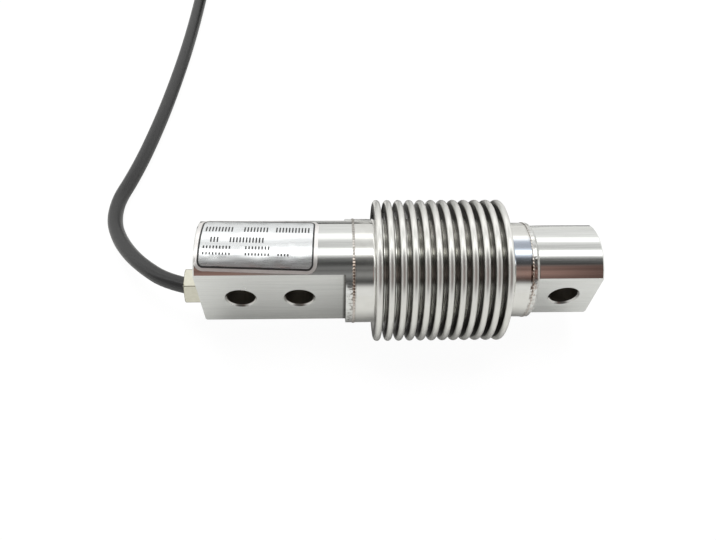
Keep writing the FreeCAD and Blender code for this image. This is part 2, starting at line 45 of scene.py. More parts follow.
# How far the heat tint reaches from the mounting weld and from the load weld.
HEAT_REACH = (1.0 * MM, 2.2 * MM)
HOLES_AT = (-8.5 * MM, 8.5 * MM, 86.1 * MM)
HOLE_RADIUS = 4.1 * MM
RIM_RADIUS = 4.6 * MM
SHOULDER = 21.8 * MM
RING_EDGE = 76.65 * MM
# A mark's size along the axis and across it, the clouds on the flats, and the patches of scorched steel.
POLISH_MARK = (16.7 * MM, 0.385 * MM, 0.385 * MM)
MILLING_CLOUD = 5.56 * MM
SCORCH_PATCH = 0.91 * MM


def linear(code):
    """sRGB hex colour as the linear RGBA that sockets take."""
    parts = [int(code[i:i + 2], 16) / 255 for i in (1, 3, 5)]
    return [c / 12.92 if c <= 0.04045 else ((c + 0.055) / 1.055) ** 2.4 for c in parts] + [1.0]


def add(tree, kind, sockets=(), **settings):
    """Adds a node with its settings. A socket takes a value, an output, or a node's first output in use."""
    made = tree.nodes.new("ShaderNode" + kind)
    for name, value in settings.items():
        setattr(made, name, value)
    for name, value in dict(sockets).items():
        if isinstance(value, bpy.types.Node):
            value = next(output for output in value.outputs if output.enabled)
        if isinstance(value, bpy.types.NodeSocket):
            tree.links.new(value, made.inputs[name])
        else:
            made.inputs[name].default_value = value
    return made


def new_material(name):
    """An empty node material, with its tree."""
    material = bpy.data.materials.new(name)
    material.use_nodes = True
    material.node_tree.nodes.clear()
    return material, material.node_tree


def dress(piece, *materials):
    """Gives a piece its materials in place of the ones it came with."""
    piece.data.materials.clear()
    for material in materials:
        piece.data.materials.append(material)


def weld_distance(tree, spot):
    """Distance along the axis to the nearer weld."""
    reaches = []
    for station in WELD_AT:
        off = add(tree, "Math", {0: spot.outputs["X"], 1: station}, operation="SUBTRACT")
        reaches.append(add(tree, "Math", {0: off}, operation="ABSOLUTE"))
    return add(tree, "Math", {0: reaches[0], 1: reaches[1]}, operation="MINIMUM")


def lingered(tree, spot):
    """How much heat tint shows: all on the upper front, where a weld starts and ends, little elsewhere."""
    front = add(tree, "MapRange", {"Value": spot.outputs["Y"], "From Min": -4.5 * MM, "From Max": -7 * MM})
    upper = add(tree, "MapRange", {"Value": spot.outputs["Z"], "From Min": 4 * MM,
                                   "From Max": 8 * MM, "To Min": 0.3})
    both = add(tree, "Math", {0: front, 1: upper}, operation="MULTIPLY")
    return add(tree, "MapRange", {"Value": both, "To Min": 0.15})


# Ground stainless steel: a mirror with fine lengthwise lines on the round sides, and a soft grey sheen
# on the flats. Real polishing marks are finer; these are drawn coarser so that they show.
ground_steel, tree = new_material("ground_stainless_steel")
place = add(tree, "TexCoord")
body_at = place.outputs["Object"]
spot = add(tree, "SeparateXYZ", {0: body_at})
facing = add(tree, "SeparateXYZ", {0: place.outputs["Normal"]})
lengthwise = add(tree, "Mapping", {"Vector": body_at, "Scale": [1 / size for size in POLISH_MARK]})
streaks = add(tree, "TexNoise", {"Vector": lengthwise, "Scale": 1.0, "Detail": 4.0})
clouds = add(tree, "TexNoise", {"Vector": body_at, "Scale": 1 / MILLING_CLOUD, "Detail": 3.0})
patches = add(tree, "TexNoise", {"Vector": body_at, "Scale": 1 / SCORCH_PATCH, "Detail": 2.0})
side_on = add(tree, "Math", {0: facing.outputs["Y"]}, operation="ABSOLUTE")
is_flat = add(tree, "MapRange", {"Value": side_on, "From Min": 0.97, "From Max": 0.995})
shade = add(tree, "MapRange", {"Value": streaks, "From Min": 0.3, "From Max": 0.7})
steel = add(tree, "Mix", {"Factor": shade, "A": linear("#C5C6C3"), "B": linear("#D2D3D0")}, data_type="RGBA")

# The heat tint beside each weld is narrow and uneven.
at_load = add(tree, "Math", {0: spot.outputs["X"], 1: BETWEEN_WELDS}, operation="GREATER_THAN")
at_mount = add(tree, "Math", {0: 1.0, 1: at_load}, operation="SUBTRACT")
from_weld = weld_distance(tree, spot)
heat_reach = add(tree, "MapRange", {"Value": at_load, "To Min": HEAT_REACH[0], "To Max": HEAT_REACH[1]})
heated = add(tree, "MapRange", {"Value": from_weld, "From Min": heat_reach, "From Max": 0.4 * MM,
                                "To Max": 0.75})
uneven = add(tree, "MapRange", {"Value": patches, "From Min": 0.4, "From Max": 0.65})
mottling = add(tree, "Math", {0: lingered(tree, spot), 1: uneven}, operation="MULTIPLY")
tinted = add(tree, "Math", {0: heated, 1: mottling}, operation="MULTIPLY")
burnt = add(tree, "Mix", {"Factor": tinted, "A": steel, "B": linear("#8A6A50")}, data_type="RGBA")

# A wider band is left rough and spotted where the seam was dressed by hand, on the lower side of the
# mounting collar and lightly all round at the load end.
low = add(tree, "MapRange", {"Value": spot.outputs["Z"], "From Min": 10.5 * MM, "From Max": 8.5 * MM})
below = add(tree, "Math", {0: low, 1: at_mount}, operation="MULTIPLY")
lightly = add(tree, "Math", {0: at_load, 1: 0.35}, operation="MULTIPLY")
filed = add(tree, "Math", {0: lightly, 1: below}, operation="MAXIMUM")
beside_weld = add(tree, "MapRange", {"Value": from_weld, "From Min": 2.4 * MM, "From Max": 1.6 * MM})
dressed = add(tree, "Math", {0: beside_weld, 1: filed}, operation="MULTIPLY")
blots = add(tree, "MapRange", {"Value": patches, "From Min": 0.5, "From Max": 0.62, "To Max": 0.7})
scorched = add(tree, "Math", {0: blots, 1: dressed}, operation="MULTIPLY")
stained = add(tree, "Mix", {"Factor": scorched, "A": burnt, "B": linear("#6B675F")}, data_type="RGBA")

# Painted shade: a dark line in the corner where the milled flats stop at the collar.
to_corner = add(tree, "Math", {0: SHOULDER, 1: spot.outputs["X"]}, operation="SUBTRACT")
near_corner = add(tree, "MapRange", {"Value": to_corner, "From Min": 0.9 * MM, "From Max": 0.3 * MM,
                                     "To Max": 0.85})
this_side = add(tree, "Math", {0: to_corner, 1: -0.02 * MM}, operation="GREATER_THAN")
on_flat = add(tree, "Math", {0: this_side, 1: is_flat}, operation="MULTIPLY")
painted_corner_shade = add(tree, "Math", {0: near_corner, 1: on_flat}, operation="MULTIPLY")
corner_shaded = add(tree, "Mix", {"Factor": painted_corner_shade, "A": stained, "B": linear("#3E3B36")}, data_type="RGBA")

# Bores are dark and dull inside the drilled radius, though lighter at the load hole's mouth,
# and the countersunk rims round them are a little darker than the flats.
in_plane = add(tree, "VectorMath", {0: body_at, 1: (1, 0, 1)}, operation="MULTIPLY")
nearest = None
for station in HOLES_AT:
    reach = add(tree, "VectorMath", {0: in_plane, 1: (station, 0, 0)}, operation="DISTANCE")
    if nearest is None:
        nearest = reach
    else:
        nearest = add(tree, "Math", {0: nearest, 1: reach}, operation="MINIMUM")
bore = add(tree, "MapRange", {"Value": nearest, "From Min": HOLE_RADIUS + 0.08 * MM,
                              "From Max": HOLE_RADIUS + 0.02 * MM})
rim = add(tree, "MapRange", {"Value": nearest, "From Min": RIM_RADIUS, "From Max": RIM_RADIUS - 0.04 * MM})
rimmed = add(tree, "Mix", {"Factor": rim, "A": corner_shaded, "B": linear("#B6B5B1")}, data_type="RGBA")
off_axis = add(tree, "Math", {0: spot.outputs["Y"]}, operation="ABSOLUTE")
mouth = add(tree, "MapRange", {"Value": off_axis, "From Min": 8.9 * MM, "From Max": 8.4 * MM})
inner = add(tree, "Math", {0: mouth, 1: at_mount}, operation="MAXIMUM")
drilled = add(tree, "Math", {0: bore, 1: inner}, operation="MULTIPLY")
colour = add(tree, "Mix", {"Factor": drilled, "A": rimmed, "B": linear("#7C776F")}, data_type="RGBA")

# The load ring's edge is left matt from the turning.
polish = add(tree, "MapRange", {"Value": streaks, "To Min": 0.07, "To Max": 0.15})
milled = add(tree, "MapRange", {"Value": clouds, "To Min": 0.2, "To Max": 0.3})
outside = add(tree, "Mix", {"Factor": is_flat, "A": polish, "B": milled})
to_edge = add(tree, "Math", {0: RING_EDGE, 1: spot.outputs["X"]}, operation="SUBTRACT")
ring_side = add(tree, "Math", {0: to_edge, 1: -0.02 * MM}, operation="GREATER_THAN")
by_edge = add(tree, "MapRange", {"Value": to_edge, "From Min": 0.8 * MM, "From Max": 0.72 * MM})
on_taper = add(tree, "Math", {0: by_edge, 1: ring_side}, operation="MULTIPLY")
turned_edge = add(tree, "Math", {0: on_taper, 1: at_load}, operation="MULTIPLY")
turned_side = add(tree, "Mix", {"Factor": turned_edge, "A": outside, "B": 0.7})
rough = add(tree, "Mix", {"Factor": drilled, "A": turned_side, "B": 0.45})
lumps = add(tree, "Math", {0: patches, 1: dressed}, operation="MULTIPLY")
worn = add(tree, "Bump", {"Height": lumps, "Strength": 0.8, "Distance": 0.25 * MM})
relief = add(tree, "Bump", {"Height": streaks, "Strength": 0.05, "Distance": 0.05 * MM, "Normal": worn})
metal = add(tree, "BsdfPrincipled", {"Base Color": colour, "Metallic": 1.0, "Roughness": rough,
                                     "Normal": relief})
add(tree, "OutputMaterial", {"Surface": metal})
dress(nodes["load_cell_body"], ground_steel)

# Strain gauges and terminal strips: amber film with a fine metal grid, and small glass-fibre strips
# beside it. They are glued to the two faces of the bending beam, over the flexure holes.
GRID_SPACING = 0.393 * MM


def mottled(name, dark, light, grain, rough, metallic=0.0, relief=0.1):
    """One kind of stuff: two close colours in grains of a real size, with roughness and relief to match."""
    material, tree = new_material(name)
    place = add(tree, "TexCoord")
    grains = add(tree, "TexNoise", {"Vector": place.outputs["Object"], "Scale": 1 / grain, "Detail": 3.0})
    colour = add(tree, "Mix", {"Factor": grains, "A": linear(dark), "B": linear(light)}, data_type="RGBA")
    gloss = add(tree, "MapRange", {"Value": grains, "To Min": rough - 0.08, "To Max": rough + 0.08})
    bump = add(tree, "Bump", {"Height": grains, "Strength": relief, "Distance": grain / 10})
    surface = add(tree, "BsdfPrincipled", {"Base Color": colour, "Metallic": metallic,
                                           "Roughness": gloss, "Normal": bump})
    add(tree, "OutputMaterial", {"Surface": surface})
    return material


# Gauge film: clear amber with grey metal lines. A wave texture of scale 1 repeats every pi / 10 metres,
# and the lines are drawn wider apart than on real film, so that they show.
gauge_film, tree = new_material("strain_gauge_film")
place = add(tree, "TexCoord")
grid = add(tree, "TexWave", {"Vector": place.outputs["Object"],
                             "Scale": math.pi / 10 / GRID_SPACING}, bands_direction="Z")
lines = add(tree, "Math", {0: grid.outputs["Fac"], 1: 0.6}, operation="GREATER_THAN")
colour = add(tree, "Mix", {"Factor": lines, "A": linear("#B0702C"), "B": linear("#8F8A80")}, data_type="RGBA")
film = add(tree, "BsdfPrincipled", {"Base Color": colour, "Metallic": lines, "Roughness": 0.3})
add(tree, "OutputMaterial", {"Surface": film})
for name in ("front_mount", "front_load", "back_mount", "back_load"):
    dress(nodes["strain_gauge_" + name], gauge_film)
# Glass-fibre laminate: straw yellow with a faint grain, half matt.
terminal_laminate = mottled("terminal_glass_laminate", "#A8935A", "#C2AE74", 0.4 * MM, 0.4)
dress(nodes["terminal_strip_front"], terminal_laminate)
dress(nodes["terminal_strip_back"], terminal_laminate)

# Wiring inside the bellows: enamelled copper from the gauges to the strips and on to the board,
# a small green board with its trim resistors, and the four cable cores that reach it through the potting.
CORE_COLOURS = {"red": ("#A81F1C", "#BE2C26"), "black": ("#1B1B1B", "#262626"),
                "green": ("#1E6B34", "#2A7E42"), "white": ("#D9D7D0", "#E6E4DE")}
# Enamelled copper: warm brown with a wet shine.
enamelled_wire = mottled("enamelled_copper_wire", "#8E4A26", "#B06A3A", 0.5 * MM, 0.3, metallic=0.8)
dress(nodes["gauge_leads"], enamelled_wire)
dress(nodes["bridge_wires"], enamelled_wire)
# Board laminate and lacquer: deep green and slate blue, smooth and fairly glossy.
dress(nodes["compensation_board"], mottled("green_board_laminate", "#1D5434", "#2A6A43", 1.5 * MM, 0.35))
dress(nodes["trim_resistors"], mottled("resistor_lacquer", "#3A4C5E", "#4A5F74", 0.6 * MM, 0.3))
# Silicone: cloudy grey, with an uneven poured surface.
dress(nodes["core_potting"], mottled("silicone_potting", "#8C877C", "#A39E92", 2.0 * MM, 0.45, relief=0.3))
# PVC insulation: plain strong colours with a soft shine.
insulation = {}
for colour, (dark, light) in CORE_COLOURS.items():
    insulation[colour] = mottled(colour + "_wire_insulation", dark, light, 1.2 * MM, 0.38)
    dress(nodes["core_" + colour], insulation[colour])

# Bellows: a thin stainless tube formed into twelve folds, with a plain cuff at each end that is welded on.
# One fold is drawn in section and spun, the fold is repeated, and the cuffs are drawn out of its ends.
FOLDS = 12
FOLD_PITCH = 3.25 * MM
FOLD_START = 29.4 * MM
FOLD_END = FOLD_START + FOLDS * FOLD_PITCH
ROOT_RADIUS = 15.35 * MM
CREST_RADIUS = 21.0 * MM
CREST_BEND = 1.0 * MM
ROOT_BEND = FOLD_PITCH / 2 - CREST_BEND
BEND_STEPS = 7
SPIN_STEPS = 128
COLLAR_RADIUS = 15.4 * MM
RING_RADIUS = 14.1 * MM
NECK = 1.3 * MM
TUBE_WALL = 0.3 * MM
FORMING_MARK = 2.86 * MM
BURN_PATCH = 1.43 * MM
TURNING_MARK = (0.25 * MM, 20 * MM, 20 * MM)
SAME_POINT = 0.001 * MM
TOUCHING = 0.01 * MM


def deselect():
    """Leaves no object selected."""
    bpy.ops.object.select_all(action="DESELECT")


def edit(piece):
    """Opens one piece in edit mode, with nothing in it selected."""
    deselect()
    bpy.context.view_layer.objects.active = piece
    piece.select_set(True)
    bpy.ops.object.mode_set(mode="EDIT")
    bpy.ops.mesh.select_all(action="DESELECT")


def pick(piece, kind, test):
    """In edit mode, selects only the edges whose ends, or the faces whose centre, pass the test."""
    bpy.ops.mesh.select_all(action="DESELECT")
    bpy.ops.mesh.select_mode(type=kind)
    bpy.ops.object.mode_set(mode="OBJECT")
    mesh = piece.data
    if kind == "EDGE":
        for edge in mesh.edges:
            edge.select = all(test(mesh.vertices[i].co) for i in edge.vertices)
    else:
        for face in mesh.polygons:
            face.select = test(face.center)
    bpy.ops.object.mode_set(mode="EDIT")


def arc(middle, radius, first, last, steps, depth=0.0):
    """Points of an arc in an upright plane along the axis, between two angles in degrees."""
    turns = [math.radians(first + (last - first) * i / steps) for i in range(steps + 1)]
    return [(middle[0] + radius * math.cos(turn), depth, middle[1] + radius * math.sin(turn))
            for turn in turns]


def draw_section(name, points):
    """Starts a piece as one vertex and draws it out point by point into a section line, left in edit mode."""
    deselect()
    bpy.ops.mesh.primitive_plane_add(size=MM, location=(0, 0, 0))
    piece = bpy.context.object
    piece.name = name
    bpy.ops.object.mode_set(mode="EDIT")
    bpy.ops.mesh.select_mode(type="VERT")
    bpy.ops.mesh.select_all(action="SELECT")
    bpy.ops.mesh.merge(type="CENTER")
    bpy.ops.transform.translate(value=points[0])
    for before, after in zip(points, points[1:]):
        step = [b - a for a, b in zip(before, after)]
        bpy.ops.mesh.extrude_region_move(TRANSFORM_OT_translate={"value": step})
    bpy.ops.mesh.select_all(action="SELECT")
    return piece


def apply_modifier(piece, kind, **settings):
    """Adds one modifier to a piece and applies it."""
    bpy.context.view_layer.objects.active = piece
    modifier = piece.modifiers.new(kind.lower(), kind)
    for name, value in settings.items():
        setattr(modifier, name, value)
    bpy.ops.object.modifier_apply(modifier=modifier.name)


def face_outwards(piece, sample):
    """In edit mode, turns an open shell's faces alike, with the sampled face away from its middle."""
    bpy.ops.mesh.select_all(action="SELECT")
    bpy.ops.mesh.normals_make_consistent(inside=False)
    bpy.ops.object.mode_set(mode="OBJECT")
    face = max(piece.data.polygons, key=sample)
    corners = [vertex.co for vertex in piece.data.vertices]
    middle = sum(corners, start=face.center * 0) / len(corners)
    inwards = face.normal.dot(face.center - middle) < 0
    bpy.ops.object.mode_set(mode="EDIT")
    bpy.ops.mesh.select_all(action="SELECT")
    if inwards:
        bpy.ops.mesh.flip_normals()


def smooth(piece, degrees):
    """Shades a piece smooth, apart from edges sharper than this."""
    deselect()
    piece.select_set(True)
    bpy.context.view_layer.objects.active = piece
    bpy.ops.object.shade_smooth_by_angle(angle=math.radians(degrees))


def draw_cuff(start, neck, radius, length):
    """Draws a cuff out of the open end of the folds: a short neck to its radius, then the straight cuff."""
    pick(bellows, "EDGE", lambda co: (abs(co.x - start) < TOUCHING
                                      and math.hypot(co.y, co.z) < ROOT_RADIUS + TOUCHING))
    bpy.ops.mesh.extrude_region_move(TRANSFORM_OT_translate={"value": (neck, 0, 0)})
    growth = radius / ROOT_RADIUS
    bpy.ops.transform.resize(value=(1, growth, growth), center_override=(start + neck, 0, 0))
    bpy.ops.mesh.extrude_region_move(TRANSFORM_OT_translate={"value": (length, 0, 0)})


root_height = ROOT_RADIUS + ROOT_BEND
section = arc((FOLD_START, root_height), ROOT_BEND, -90, 0, BEND_STEPS)
section += arc((FOLD_START + FOLD_PITCH / 2, CREST_RADIUS - CREST_BEND), CREST_BEND, 180, 0, 2 * BEND_STEPS)
section += arc((FOLD_START + FOLD_PITCH, root_height), ROOT_BEND, 180, 270, BEND_STEPS)
bellows = draw_section("metal_bellows", section)
bpy.ops.mesh.spin(steps=SPIN_STEPS, angle=2 * math.pi, center=(0, 0, 0), axis=(1, 0, 0))
bpy.ops.mesh.select_all(action="SELECT")
bpy.ops.mesh.remove_doubles(threshold=SAME_POINT)
bpy.ops.object.mode_set(mode="OBJECT")
apply_modifier(bellows, "ARRAY", count=FOLDS, use_relative_offset=False, use_constant_offset=True,
               constant_offset_displace=(FOLD_PITCH, 0, 0), use_merge_vertices=True,
               merge_threshold=5 * SAME_POINT)
edit(bellows)
draw_cuff(FOLD_START, -NECK, COLLAR_RADIUS, WELD_AT[0] - FOLD_START + NECK)
draw_cuff(FOLD_END, NECK, RING_RADIUS, WELD_AT[1] - FOLD_END - NECK)
face_outwards(bellows, lambda face: math.hypot(face.center.y, face.center.z))
bpy.ops.object.mode_set(mode="OBJECT")
apply_modifier(bellows, "SOLIDIFY", thickness=TUBE_WALL, offset=-1.0)
smooth(bellows, 30)

# Formed stainless tube: mirror-bright cuffs and roots, satin crests, and between them flanks with the dull
# skin that forming leaves, darkened further as painted shade in the folds, and much darker below the top
# as painted shade. The fine turning marks are drawn coarser than real ones.
formed_steel, tree = new_material("formed_stainless_tube")
place = add(tree, "TexCoord")
tube_at = place.outputs["Object"]
spot = add(tree, "SeparateXYZ", {0: tube_at})
across = add(tree, "VectorMath", {0: tube_at, 1: (0, 1, 1)}, operation="MULTIPLY")
radius = add(tree, "VectorMath", {0: across}, operation="LENGTH")
marks = add(tree, "TexNoise", {"Vector": tube_at, "Scale": 1 / FORMING_MARK, "Detail": 3.0})
above_root = add(tree, "MapRange", {"Value": radius, "From Min": ROOT_RADIUS + 0.8 * MM,
                                    "From Max": ROOT_RADIUS + 2.6 * MM})
below_crest = add(tree, "MapRange", {"Value": radius, "From Min": CREST_RADIUS - 0.75 * CREST_BEND,
                                     "From Max": CREST_RADIUS - 1.15 * CREST_BEND})
flank = add(tree, "Math", {0: above_root, 1: below_crest}, operation="MULTIPLY")
# Painted shade: below 8 mm over the axis the flanks turn much darker.
underneath = add(tree, "MapRange", {"Value": spot.outputs["Z"], "From Min": 15 * MM, "From Max": 8 * MM})
bright = add(tree, "Mix", {"Factor": marks, "A": linear("#C6C5C0"), "B": linear("#D4D4D0")}, data_type="RGBA")
# The flanks' own dull skin, painted darker as shade in the folds.
skin_and_fold_shade = add(tree, "Mix", {"Factor": marks, "A": linear("#A9A8A5"), "B": linear("#B8B7B4")}, data_type="RGBA")
painted_shade_below = add(tree, "Mix", {"Factor": marks, "A": linear("#565552"), "B": linear("#666562")},
                data_type="RGBA")
flank_skin_and_shade = add(tree, "Mix", {"Factor": underneath, "A": skin_and_fold_shade, "B": painted_shade_below}, data_type="RGBA")
steel = add(tree, "Mix", {"Factor": flank, "A": bright, "B": flank_skin_and_shade}, data_type="RGBA")

# Painted reflection: a blue-grey band along the load cuff's upper front.
# The welded edges are burnt brown, more at the load end.
on_cuff = add(tree, "MapRange", {"Value": spot.outputs["X"], "From Min": FOLD_END + 0.5 * NECK,
                                 "From Max": FOLD_END + NECK})
high_side = add(tree, "MapRange", {"Value": spot.outputs["Y"], "From Min": 2.5 * MM, "From Max": 0})
low_side = add(tree, "MapRange", {"Value": spot.outputs["Y"], "From Min": -7.5 * MM, "From Max": -5 * MM})
on_front = add(tree, "Math", {0: high_side, 1: low_side}, operation="MULTIPLY")
blue_reflection_band = add(tree, "Math", {0: on_cuff, 1: on_front}, operation="MULTIPLY")
with_blue_reflection = add(tree, "Mix", {"Factor": blue_reflection_band, "A": steel, "B": linear("#AAB1BB")}, data_type="RGBA")
edge = add(tree, "MapRange", {"Value": weld_distance(tree, spot), "From Min": 0.6 * MM, "From Max": 0.4 * MM})
toward_load = add(tree, "MapRange", {"Value": spot.outputs["X"], "From Min": 40 * MM,
                                     "From Max": 60 * MM, "To Min": 0.3})
hottest = add(tree, "Math", {0: edge, 1: toward_load}, operation="MULTIPLY")
patches = add(tree, "TexNoise", {"Vector": tube_at, "Scale": 1 / BURN_PATCH, "Detail": 2.0})
uneven = add(tree, "MapRange", {"Value": patches, "From Min": 0.35, "From Max": 0.55})
mottling = add(tree, "Math", {0: lingered(tree, spot), 1: uneven}, operation="MULTIPLY")
burnt = add(tree, "Math", {0: hottest, 1: mottling}, operation="MULTIPLY")
skin = add(tree, "Mix", {"Factor": burnt, "A": with_blue_reflection, "B": linear("#4A382C")}, data_type="RGBA")
polish = add(tree, "MapRange", {"Value": marks, "To Min": 0.08, "To Max": 0.16})
rough = add(tree, "Mix", {"Factor": above_root, "A": polish, "B": 0.32})
round_tube = add(tree, "Mapping", {"Vector": tube_at, "Scale": [1 / size for size in TURNING_MARK]})
turned = add(tree, "TexNoise", {"Vector": round_tube, "Scale": 1.0, "Detail": 2.0})
relief = add(tree, "Bump", {"Height": turned, "Strength": 0.08, "Distance": 0.05 * MM})
metal = add(tree, "BsdfPrincipled", {"Base Color": skin, "Metallic": 1.0, "Roughness": rough,
                                     "Normal": relief})
add(tree, "OutputMaterial", {"Surface": metal})
dress(bellows, formed_steel)
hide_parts("bellows")
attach(bellows, "root")

# Weld seams: overlapping ripples of steel, melted without filler all round both ends of the bellows.
# One ripple is shaped and copied round the joint, and the ripples are then made a little uneven.
SEAM_OFFSET = 0.2 * MM
# A ripple's radius, its stretch round the joint, its thickness as a share of that radius, and its lean.
RIPPLE_RADIUS = 0.36 * MM
RIPPLE_LONG = 1.8
RIPPLE_FLAT = 0.36
RIPPLE_LEAN = math.radians(12)
RIPPLE_UNEVEN = 0.03 * MM
OXIDE_GRAIN = 0.6 * MM
# Name, node, place along the axis, radius, distance between ripples, and a ripple's stretch along the axis.
SEAMS = (("mount_seam", "mount_weld", WELD_AT[0] - SEAM_OFFSET, COLLAR_RADIUS, 0.95 * MM, 1.2),
         ("load_seam", "load_weld", WELD_AT[1] + SEAM_OFFSET, RING_RADIUS, 1.05 * MM, 0.7))
# Remelted steel: small bright ripples, with brown oxide where the heat lingered.
weld_steel, tree = new_material("remelted_weld_steel")
place = add(tree, "TexCoord")
spot = add(tree, "SeparateXYZ", {0: place.outputs["Object"]})
grains = add(tree, "TexNoise", {"Vector": place.outputs["Object"], "Scale": 1 / OXIDE_GRAIN, "Detail": 3.0})
clean = add(tree, "Mix", {"Factor": grains, "A": linear("#A5A29C"), "B": linear("#DEDCD8")}, data_type="RGBA")
oxide = add(tree, "Mix", {"Factor": grains, "A": linear("#4E382C"), "B": linear("#CFC2B5")}, data_type="RGBA")
colour = add(tree, "Mix", {"Factor": lingered(tree, spot), "A": clean, "B": oxide}, data_type="RGBA")
gloss = add(tree, "MapRange", {"Value": grains, "To Min": 0.11, "To Max": 0.27})
relief = add(tree, "Bump", {"Height": grains, "Strength": 0.25, "Distance": 0.06 * MM})
metal = add(tree, "BsdfPrincipled", {"Base Color": colour, "Metallic": 1.0, "Roughness": gloss,
                                     "Normal": relief})
add(tree, "OutputMaterial", {"Surface": metal})
for name, node, station, radius, pitch, spread in SEAMS:
    deselect()
    bpy.ops.mesh.primitive_uv_sphere_add(segments=8, ring_count=6, radius=RIPPLE_RADIUS, location=(0, 0, 0))
    seam = bpy.context.object
    seam.name = name
    bpy.ops.object.mode_set(mode="EDIT")
    bpy.ops.mesh.select_all(action="SELECT")
    bpy.ops.transform.resize(value=(spread, RIPPLE_LONG, RIPPLE_FLAT), center_override=(0, 0, 0))
    bpy.ops.transform.rotate(value=RIPPLE_LEAN, orient_axis="X", center_override=(0, 0, 0))
    bpy.ops.transform.translate(value=(station, 0, radius))
    ripples = round(2 * math.pi * radius / pitch)
    last_turn = 2 * math.pi * (ripples - 1) / ripples
    bpy.ops.mesh.spin(steps=ripples - 1, dupli=True, angle=last_turn, center=(0, 0, 0), axis=(1, 0, 0))
    bpy.ops.mesh.select_all(action="SELECT")
    bpy.ops.transform.vertex_random(offset=RIPPLE_UNEVEN, seed=7)
    bpy.ops.object.mode_set(mode="OBJECT")
    smooth(seam, 60)
    dress(seam, weld_steel)
    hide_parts(node)
    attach(seam, "root")

# Rating plate: silver polyester foil stuck on the round side of the mounting block, not quite straight.
# It carries a thin black printed frame and rows of plain strokes, and shows small dents from the pressing-on.
PLATE_MIDDLE = -2.98 * MM
PLATE_HALF = (17.1 * MM, 8.9 * MM)
PLATE_CORNER = 2.7 * MM
PLATE_SKEW = math.radians(1.8)
PLATE_THICK = 0.12 * MM
GLUE = 0.03 * MM
ABOVE_BODY = 20 * MM
FRAME_INSET = 1.05 * MM
FRAME_RISE = 0.6 * MM
FRAME_DROP = 0.3 * MM
FRAME_LINE = 0.5 * MM
BRUSH_MARK = (11.1 * MM, 0.286 * MM, 0.286 * MM)
DENT = 5.88 * MM
# Cuts across the plate let it bend round the block, as number, first place and distance in millimetres.
BEND_CUTS = (22, -8.4, 0.8)
# Strokes in millimetres. A row is its place and half height, then the first stroke and the count per group.
STROKE_PITCH = 0.9
STROKE_WIDTH = 0.42
STROKE_START = -14.7
STROKE_RANKS = 34
STROKE_ROWS = ((4.2, 1.1, (0, 9), (12, 8), (22, 11)), (0.1, 0.9, (2, 3), (8, 11)),
               (-2.4, 0.5, (0, 9), (13, 8)), (-4.3, 0.35, (0, 9), (13, 8), (23, 4)))

# Silver polyester foil: a soft mirror with fine brushed lines, broken up by the dents. The lines are drawn
# coarser than real ones so that they show.
silver_foil, tree = new_material("silver_polyester_foil")
place = add(tree, "TexCoord")
foil_at = place.outputs["Object"]
brushed = add(tree, "Mapping", {"Vector": foil_at, "Scale": [1 / size for size in BRUSH_MARK]})
lines = add(tree, "TexNoise", {"Vector": brushed, "Scale": 1.0, "Detail": 2.0})
dents = add(tree, "TexNoise", {"Vector": foil_at, "Scale": 1 / DENT, "Detail": 1.5})
silver = add(tree, "Mix", {"Factor": lines, "A": linear("#CFD1D1"), "B": linear("#DEE0E0")}, data_type="RGBA")
gloss = add(tree, "MapRange", {"Value": lines, "To Min": 0.22, "To Max": 0.34})
relief = add(tree, "Bump", {"Height": dents, "Strength": 0.8, "Distance": 0.4 * MM})
foil = add(tree, "BsdfPrincipled", {"Base Color": silver, "Metallic": 1.0, "Roughness": gloss,
                                    "Normal": relief})
add(tree, "OutputMaterial", {"Surface": foil})
# Printing ink: flat black. Foil margin: milky, since the print's white ground shows through.
black_ink = mottled("black_printing_ink", "#141414", "#242424", 0.3 * MM, 0.4)
milky_margin = mottled("milky_foil_margin", "#CECBC8", "#E2E0DE", 2.5 * MM, 0.34, metallic=0.8, relief=0.2)

deselect()
bpy.ops.mesh.primitive_plane_add(size=2, location=(0, 0, 0))
plate = bpy.context.object
plate.name = "foil_plate"
dress(plate, silver_foil, black_ink, milky_margin)
edit(plate)
bpy.ops.mesh.select_mode(type="VERT")
bpy.ops.mesh.select_all(action="SELECT")
bpy.ops.transform.resize(value=(PLATE_HALF[0], PLATE_HALF[1], 1), center_override=(0, 0, 0))
bpy.ops.mesh.bevel(offset=PLATE_CORNER, segments=6, affect="VERTICES")
bpy.ops.mesh.select_mode(type="FACE")
bpy.ops.mesh.select_all(action="SELECT")
bpy.ops.mesh.inset(thickness=FRAME_INSET)
frame_half = [half - FRAME_INSET for half in PLATE_HALF]
frame_growth = FRAME_RISE + FRAME_DROP
unmoved = frame_half[1] * (1 - 2 * FRAME_RISE / frame_growth)
stretch = 1 + frame_growth / frame_half[1] / 2
bpy.ops.transform.resize(value=(1, stretch, 1), center_override=(0, unmoved, 0))
bpy.ops.mesh.inset(thickness=FRAME_LINE)


def finish_faces(slot, test):
    """Gives the plate's faces that pass the test the material in this slot."""
    pick(plate, "FACE", test)
    plate.active_material_index = slot
    bpy.ops.object.material_slot_assign()


def inside_frame(co):
    """How far a place on the flat plate lies inside the frame's outer line."""
    corner = PLATE_CORNER - FRAME_INSET
    past_x = max(abs(co.x) - frame_half[0] + corner, 0)
    off_middle = abs(co.y - (FRAME_RISE - FRAME_DROP) / 2)
    past_y = max(off_middle - frame_half[1] - frame_growth / 2 + corner, 0)
    return corner - math.hypot(past_x, past_y)


def stroke_at(rank):
    """Where the stroke of this rank starts along its row."""
    return (STROKE_START + rank * STROKE_PITCH) * MM


def in_strokes(co):
    """Whether a place on the flat plate lies in a stroke."""
    for row, half, *groups in STROKE_ROWS:
        for first, count in groups:
            for rank in range(first, first + count):
                if 0 < co.x - stroke_at(rank) < STROKE_WIDTH * MM and abs(co.y - row * MM) < half * MM:
                    return True
    return False


